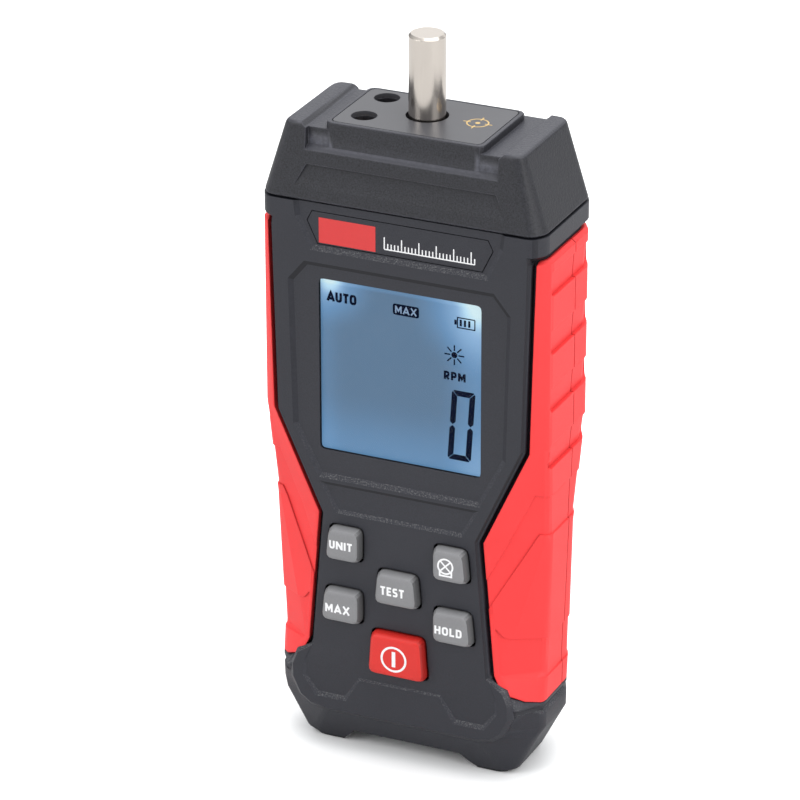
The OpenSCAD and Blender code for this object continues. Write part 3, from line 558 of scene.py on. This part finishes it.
def finer(points, closed):
    """Polyline with points added along its sides, so that a strip can follow a curved face."""
    out = []
    for i in range(len(points) if closed else len(points) - 1):
        start, end = points[i], points[(i + 1) % len(points)]
        steps = max(1, math.ceil((end - start).length / STRIP_STEP))
        out += [start.lerp(end, k / steps) for k in range(steps)]
    return out if closed else out + [points[-1]]


def turned(degrees):
    return math.cos(math.radians(degrees)), math.sin(math.radians(degrees))


def circle(centre, radius, steps):
    return [(centre[0] + radius * x, centre[1] + radius * y)
            for x, y in (turned(360 * k / steps) for k in range(steps))]


def rounded(points, radius, closed=False, steps=4):
    """Polyline with its corners turned into short arcs."""
    corners = [Vector(point) for point in points]
    out = []
    for i, corner in enumerate(corners):
        if not closed and i in (0, len(corners) - 1):
            out.append(tuple(corner))
            continue
        before, after = corners[i - 1] - corner, corners[(i + 1) % len(corners)] - corner
        cut = min(radius, before.length * 0.48, after.length * 0.48)
        start, end = corner + before.normalized() * cut, corner + after.normalized() * cut
        for k in range(steps + 1):
            share = k / steps
            out.append(tuple(start.lerp(corner, share).lerp(corner.lerp(end, share), share)))
    return out


def box_ring(left, low, right, high):
    return [(left, low), (right, low), (right, high), (left, high)]


# Block letters: width, then strokes as (closed, points), for a letter one unit high with a stroke of a fifth
NEAR, FAR = 0.1, 0.9
STEM = (False, [(NEAR, 0), (NEAR, 1)])
BOWL = (False, rounded([(NEAR, FAR), (0.58, FAR), (0.58, 0.42), (NEAR, 0.42)], 0.2))
GLYPHS = {
    "A": (0.9, [(False, [(0.05, 0), (0.45, 0.94), (0.85, 0)]), (False, [(0.2, 0.27), (0.7, 0.27)])]),
    "D": (0.72, [(True, rounded([(NEAR, NEAR), (0.62, NEAR), (0.62, FAR), (NEAR, FAR)], 0.34))]),
    "E": (0.62, [STEM, (False, [(NEAR, FAR), (0.62, FAR)]), (False, [(NEAR, 0.5), (0.56, 0.5)]),
                 (False, [(NEAR, NEAR), (0.62, NEAR)])]),
    "H": (0.76, [STEM, (False, [(0.66, 0), (0.66, 1)]), (False, [(NEAR, 0.5), (0.66, 0.5)])]),
    "I": (0.2, [STEM]),
    "L": (0.6, [(False, [(NEAR, 1), (NEAR, NEAR), (0.6, NEAR)])]),
    "M": (0.95, [STEM, (False, [(0.85, 0), (0.85, 1)]), (False, [(0.12, 0.93), (0.475, 0.3), (0.83, 0.93)])]),
    "N": (0.9, [STEM, (False, [(0.8, 0), (0.8, 1)]), (False, [(0.12, 0.92), (0.78, 0.08)])]),
    "O": (0.76, [(True, rounded(box_ring(NEAR, NEAR, 0.66, FAR), 0.24, True))]),
    "P": (0.68, [STEM, BOWL]),
    "R": (0.7, [STEM, BOWL, (False, [(0.32, 0.42), (0.62, 0.02)])]),
    "S": (0.66, [(False, rounded([(0.6, FAR), (NEAR, FAR), (NEAR, 0.52), (0.56, 0.48), (0.56, NEAR),
                                  (0.04, NEAR)], 0.2))]),
    "T": (0.7, [(False, [(0, FAR), (0.7, FAR)]), (False, [(0.35, 0), (0.35, FAR)])]),
    "U": (0.74, [(False, rounded([(NEAR, 1), (NEAR, NEAR), (0.64, NEAR), (0.64, 1)], 0.28))]),
    "X": (0.86, [(False, [(0.06, 0), (0.8, 1)]), (False, [(0.06, 1), (0.8, 0)])]),
}

# Key legends
KEY_STROKE, KEY_GAP = 0.46, 0.23
for key, word, box in (("unit_key", "UNIT", (-15.54, 51.0, -10.14, 52.9)),
                       ("max_key", "MAX", (-16.64, 35.45, -10.84, 37.45)),
                       ("test_key", "TEST", (-3.38, 42.25, 2.21, 44.3)),
                       ("hold_key", "HOLD", (9.5, 35.45, 15.86, 37.4))):
    sheet = Sheet(key)
    sheet.word(word, box, KEY_STROKE, KEY_GAP)
    sheet.done(key + "_legend", WHITE_INK, BODY[key])

LAMP_SIGN = (12.0, 52.0)
sheet = Sheet("light_key")
sheet.strip(circle(LAMP_SIGN, 1.72, 28), 0.4, True)
for angle in (45, 135):
    arm = Vector(turned(angle)) * 1.6
    sheet.strip([Vector(LAMP_SIGN) - arm, Vector(LAMP_SIGN) + arm], 0.36)
sheet.strip([(10.7, 50.95), (10.7, 49.75), (13.45, 49.75), (13.45, 50.95)], 0.4)
sheet.done("light_key_legend", WHITE_INK, BODY["light_key"])

POWER_SIGN = (-0.29, 26.94)
sheet = Sheet("power_key")
sheet.strip(circle(POWER_SIGN, 2.85, 36), 0.5, True)
sheet.strip([(POWER_SIGN[0], 25.1), (POWER_SIGN[0], 28.8)], 0.85)
sheet.done("power_key_legend", WHITE_INK, BODY["power_key"])


def segment_digit(sheet, left, low, width, height, bar, lean, lit):
    """Seven-segment figure with mitred bars set a hair apart."""
    gap, cut, mid = 0.09, 0.45, height / 2
    upright = [(bar / 2, mid + gap), (bar, mid + gap + bar / 2), (bar, height - bar - gap),
               (cut / 2, height - cut / 2 - gap), (0, height - cut - gap), (0, mid + gap + bar / 2)]
    level = [(bar + gap / 2, height - bar), (width - bar - gap / 2, height - bar),
             (width - cut / 2 - gap, height - cut / 2), (width - cut, height), (cut, height),
             (cut / 2 + gap, height - cut / 2)]
    across = [(bar / 2 + gap, mid), (bar, mid - bar / 2), (width - bar, mid - bar / 2),
              (width - bar / 2 - gap, mid), (width - bar, mid + bar / 2), (bar, mid + bar / 2)]
    for name, ring, side, down in (("a", level, 0, 0), ("b", upright, 1, 0), ("c", upright, 1, 1),
                                   ("d", level, 0, 1), ("e", upright, 0, 1), ("f", upright, 0, 0),
                                   ("g", across, 0, 0)):
        if name in lit:
            shape = [(width - x if side else x, height - z if down else z) for x, z in ring]
            shape = shape[::-1] if side != down else shape
            sheet.patch([(left + x + lean * z / height, low + z) for x, z in shape])


# Display: words, a field behind MAX, a battery sign, a star and one figure
STAR = (12.3, 100.2)
sheet = Sheet(level=LCD_Y)
sheet.word("AUTO", (-17.35, 107.6, -10.6, 109.8), 0.58)
sheet.word("RPM", (9.95, 94.3, 14.85, 96.2), 0.5, 0.28)
sheet.patch(rounded(box_ring(-2.0, 107.1, 4.1, 109.65), 0.6, True))
sheet.strip([(17.0, 109.0), (13.0, 109.0), (13.0, 106.7), (17.0, 106.7), (17.0, 109.0)], 0.26)
sheet.strip([(12.55, 108.4), (12.55, 107.3)], 0.55)
for k in range(3):
    sheet.strip([(13.75 + 0.98 * k, 107.1), (13.75 + 0.98 * k, 108.6)], 0.5)
sheet.spokes(STAR, 8, 0.95, 2.3, 0.32)
sheet.patch(circle(STAR, 0.7, 16))
segment_digit(sheet, left=10.75, low=75.85, width=5.45, height=16.3, bar=1.3, lean=1.05, lit="abcdef")
sheet.done("display_segments", DARK_SEGMENT, "case")

# Painted shadow: a dark ring round the edge of the display, where the frame's wall shades it
sheet = Sheet(level=LCD_Y)
sheet.strip(rounded(box_ring(-19.1, 72.75, 19.1, 113.2), 1.2, True), 0.36, True)
sheet.done("display_frame_shadow", FRAME_SHADOW_INK, "case")

sheet = Sheet(level=LCD_Y, lift=0.028, thick=0.012)
sheet.word("MAX", (-1.45, 107.55, 3.55, 109.2), 0.32)
sheet.done("display_lit_letters", LIT_SEGMENT, "case")

# Badge: a red field and a plain scale
sheet = Sheet("badge_plate")
sheet.patch(box_ring(-18.76, 121.08, -5.56, 126.83))
sheet.done("badge_field", RED_FOIL, "case")

SCALE_LEFT, SCALE_RIGHT, SCALE_LOW = -3.5, 17.3, 122.1
TICK_PITCH = 0.8
TICK_LINE = 0.26
sheet = Sheet("badge_plate")
sheet.strip([(SCALE_LEFT, SCALE_LOW), (SCALE_RIGHT, SCALE_LOW)], TICK_LINE)
for k in range(27):
    tick = SCALE_LEFT + TICK_PITCH * k
    sheet.strip([(tick, SCALE_LOW), (tick, 124.8 if k % 5 == 0 else 123.4)], TICK_LINE)
sheet.done("badge_scale", WHITE_INK, "case")

# Gold aiming mark on the sensor plate
AIM = (11.6, 0.0)
sheet = Sheet("sensor_plate", top=True)
sheet.strip(circle(AIM, 2.3, 32), 0.32, True)
sheet.patch(circle(AIM, 0.55, 16))
sheet.spokes(AIM, 4, 1.6, 3.3, 0.3)
sheet.done("aiming_mark", GOLD_FOIL, "case")


# Studio

FLOOR_GREY = (0.68, 0.68, 0.68)
FLOOR_HALF = 4
FLOOR_LEVEL = -0.0002


def white_for_camera(tree, plain, also=()):
    """Mixes a white surface for what the camera sees directly with a plain one for all other light."""
    path = tree.nodes.new("ShaderNodeLightPath")
    seen = path.outputs["Is Camera Ray"]
    for name in also:
        either = tree.nodes.new("ShaderNodeMath")
        either.operation = "MAXIMUM"
        tree.links.new(seen, either.inputs[0])
        tree.links.new(path.outputs[name], either.inputs[1])
        seen = either.outputs[0]
    mix = tree.nodes.new("ShaderNodeMix")
    mix.data_type = "RGBA"
    tree.links.new(seen, mix.inputs[0])
    tree.links.new(plain, mix.inputs[6])
    mix.inputs[7].default_value = (1, 1, 1, 1)
    return mix.outputs[2]


paint = Paint("floor")
plain = paint.ramp(paint.noise(6, 2), (0.3, times(FLOOR_GREY, 0.985)), (0.7, FLOOR_GREY))
paint.into(white_for_camera(paint.tree, plain), "Base Color")
paint.set(Roughness=0.9, Specular_IOR_Level=0.1)
mesh = bpy.data.meshes.new("floor")
ring = box_ring(-FLOOR_HALF, -FLOOR_HALF, FLOOR_HALF, FLOOR_HALF)
mesh.from_pydata([(x, y, 0) for x, y in ring], [], [(0, 1, 2, 3)])
floor = bpy.data.objects.new("floor", mesh)
floor.location.z = FLOOR_LEVEL
bpy.context.scene.collection.objects.link(floor)
floor.data.materials.append(paint.material)

world = bpy.data.worlds.new("studio")
bpy.context.scene.world = world
world.use_nodes = True
tree = world.node_tree
tree.nodes.clear()
way = tree.nodes.new("ShaderNodeSeparateXYZ")
tree.links.new(tree.nodes.new("ShaderNodeTexCoord").outputs["Generated"], way.inputs[0])
sky = tree.nodes.new("ShaderNodeValToRGB")
for stop, (position, level) in zip(sky.color_ramp.elements, ((0.05, 0.3), (0.9, 1.15))):
    stop.position = position
    stop.color = (0.97 * level, 0.985 * level, level, 1)
tree.links.new(way.outputs["Z"], sky.inputs[0])
light = tree.nodes.new("ShaderNodeBackground")
tree.links.new(white_for_camera(tree, sky.outputs[0], ["Is Transmission Ray"]), light.inputs["Color"])
tree.links.new(light.outputs[0], tree.nodes.new("ShaderNodeOutputWorld").inputs[0])


def softbox(name, place, aim, size, power):
    """Rectangular lamp that points at a place (metres, watts)."""
    light = bpy.data.lights.new(name, "AREA")
    light.shape = "RECTANGLE"
    light.size, light.size_y = size
    light.energy = power
    obj = bpy.data.objects.new(name, light)
    obj.location = place
    obj.rotation_euler = (Vector(aim) - Vector(place)).to_track_quat("-Z", "Y").to_euler()
    bpy.context.scene.collection.objects.link(obj)


softbox("top_light", place=(0.1, 0.15, 1.2), aim=(0, 0, 0.1), size=(1.4, 1.2), power=12.0)
softbox("back_light", place=(-0.3, 1.4, 0.75), aim=(0, 0, 0.12), size=(2.0, 1.0), power=4.6)
softbox("right_light", place=(1.3, -0.35, 0.6), aim=(0, 0, 0.08), size=(1.0, 1.0), power=9.5)
softbox("left_light", place=(-0.9, -1.2, 0.8), aim=(0, 0, 0.08), size=(0.9, 0.9), power=9.5)

# Camera solved from the photograph
CAMERA_PLACE = (0.39607, -0.87976, 0.51726)
azimuth, elevation, roll = (math.radians(angle) for angle in (24.587, 24.281, -0.116))
back = Vector((math.sin(azimuth) * math.cos(elevation), -math.cos(azimuth) * math.cos(elevation),
               math.sin(elevation)))
right = Vector((math.cos(azimuth), math.sin(azimuth), 0))
up = back.cross(right)
right, up = right * math.cos(roll) + up * math.sin(roll), up * math.cos(roll) - right * math.sin(roll)
data = bpy.data.cameras.new("camera")
data.lens = 220.3
data.sensor_width = 36.0
data.clip_start, data.clip_end = 0.05, 20
camera = bpy.data.objects.new("camera", data)
turn = Matrix((right, up, back)).transposed().to_4x4()
camera.matrix_world = Matrix.Translation(CAMERA_PLACE) @ turn
bpy.context.scene.collection.objects.link(camera)
bpy.context.scene.camera = camera
bpy.context.scene.view_settings.view_transform = "Standard"

bpy.context.view_layer.update()
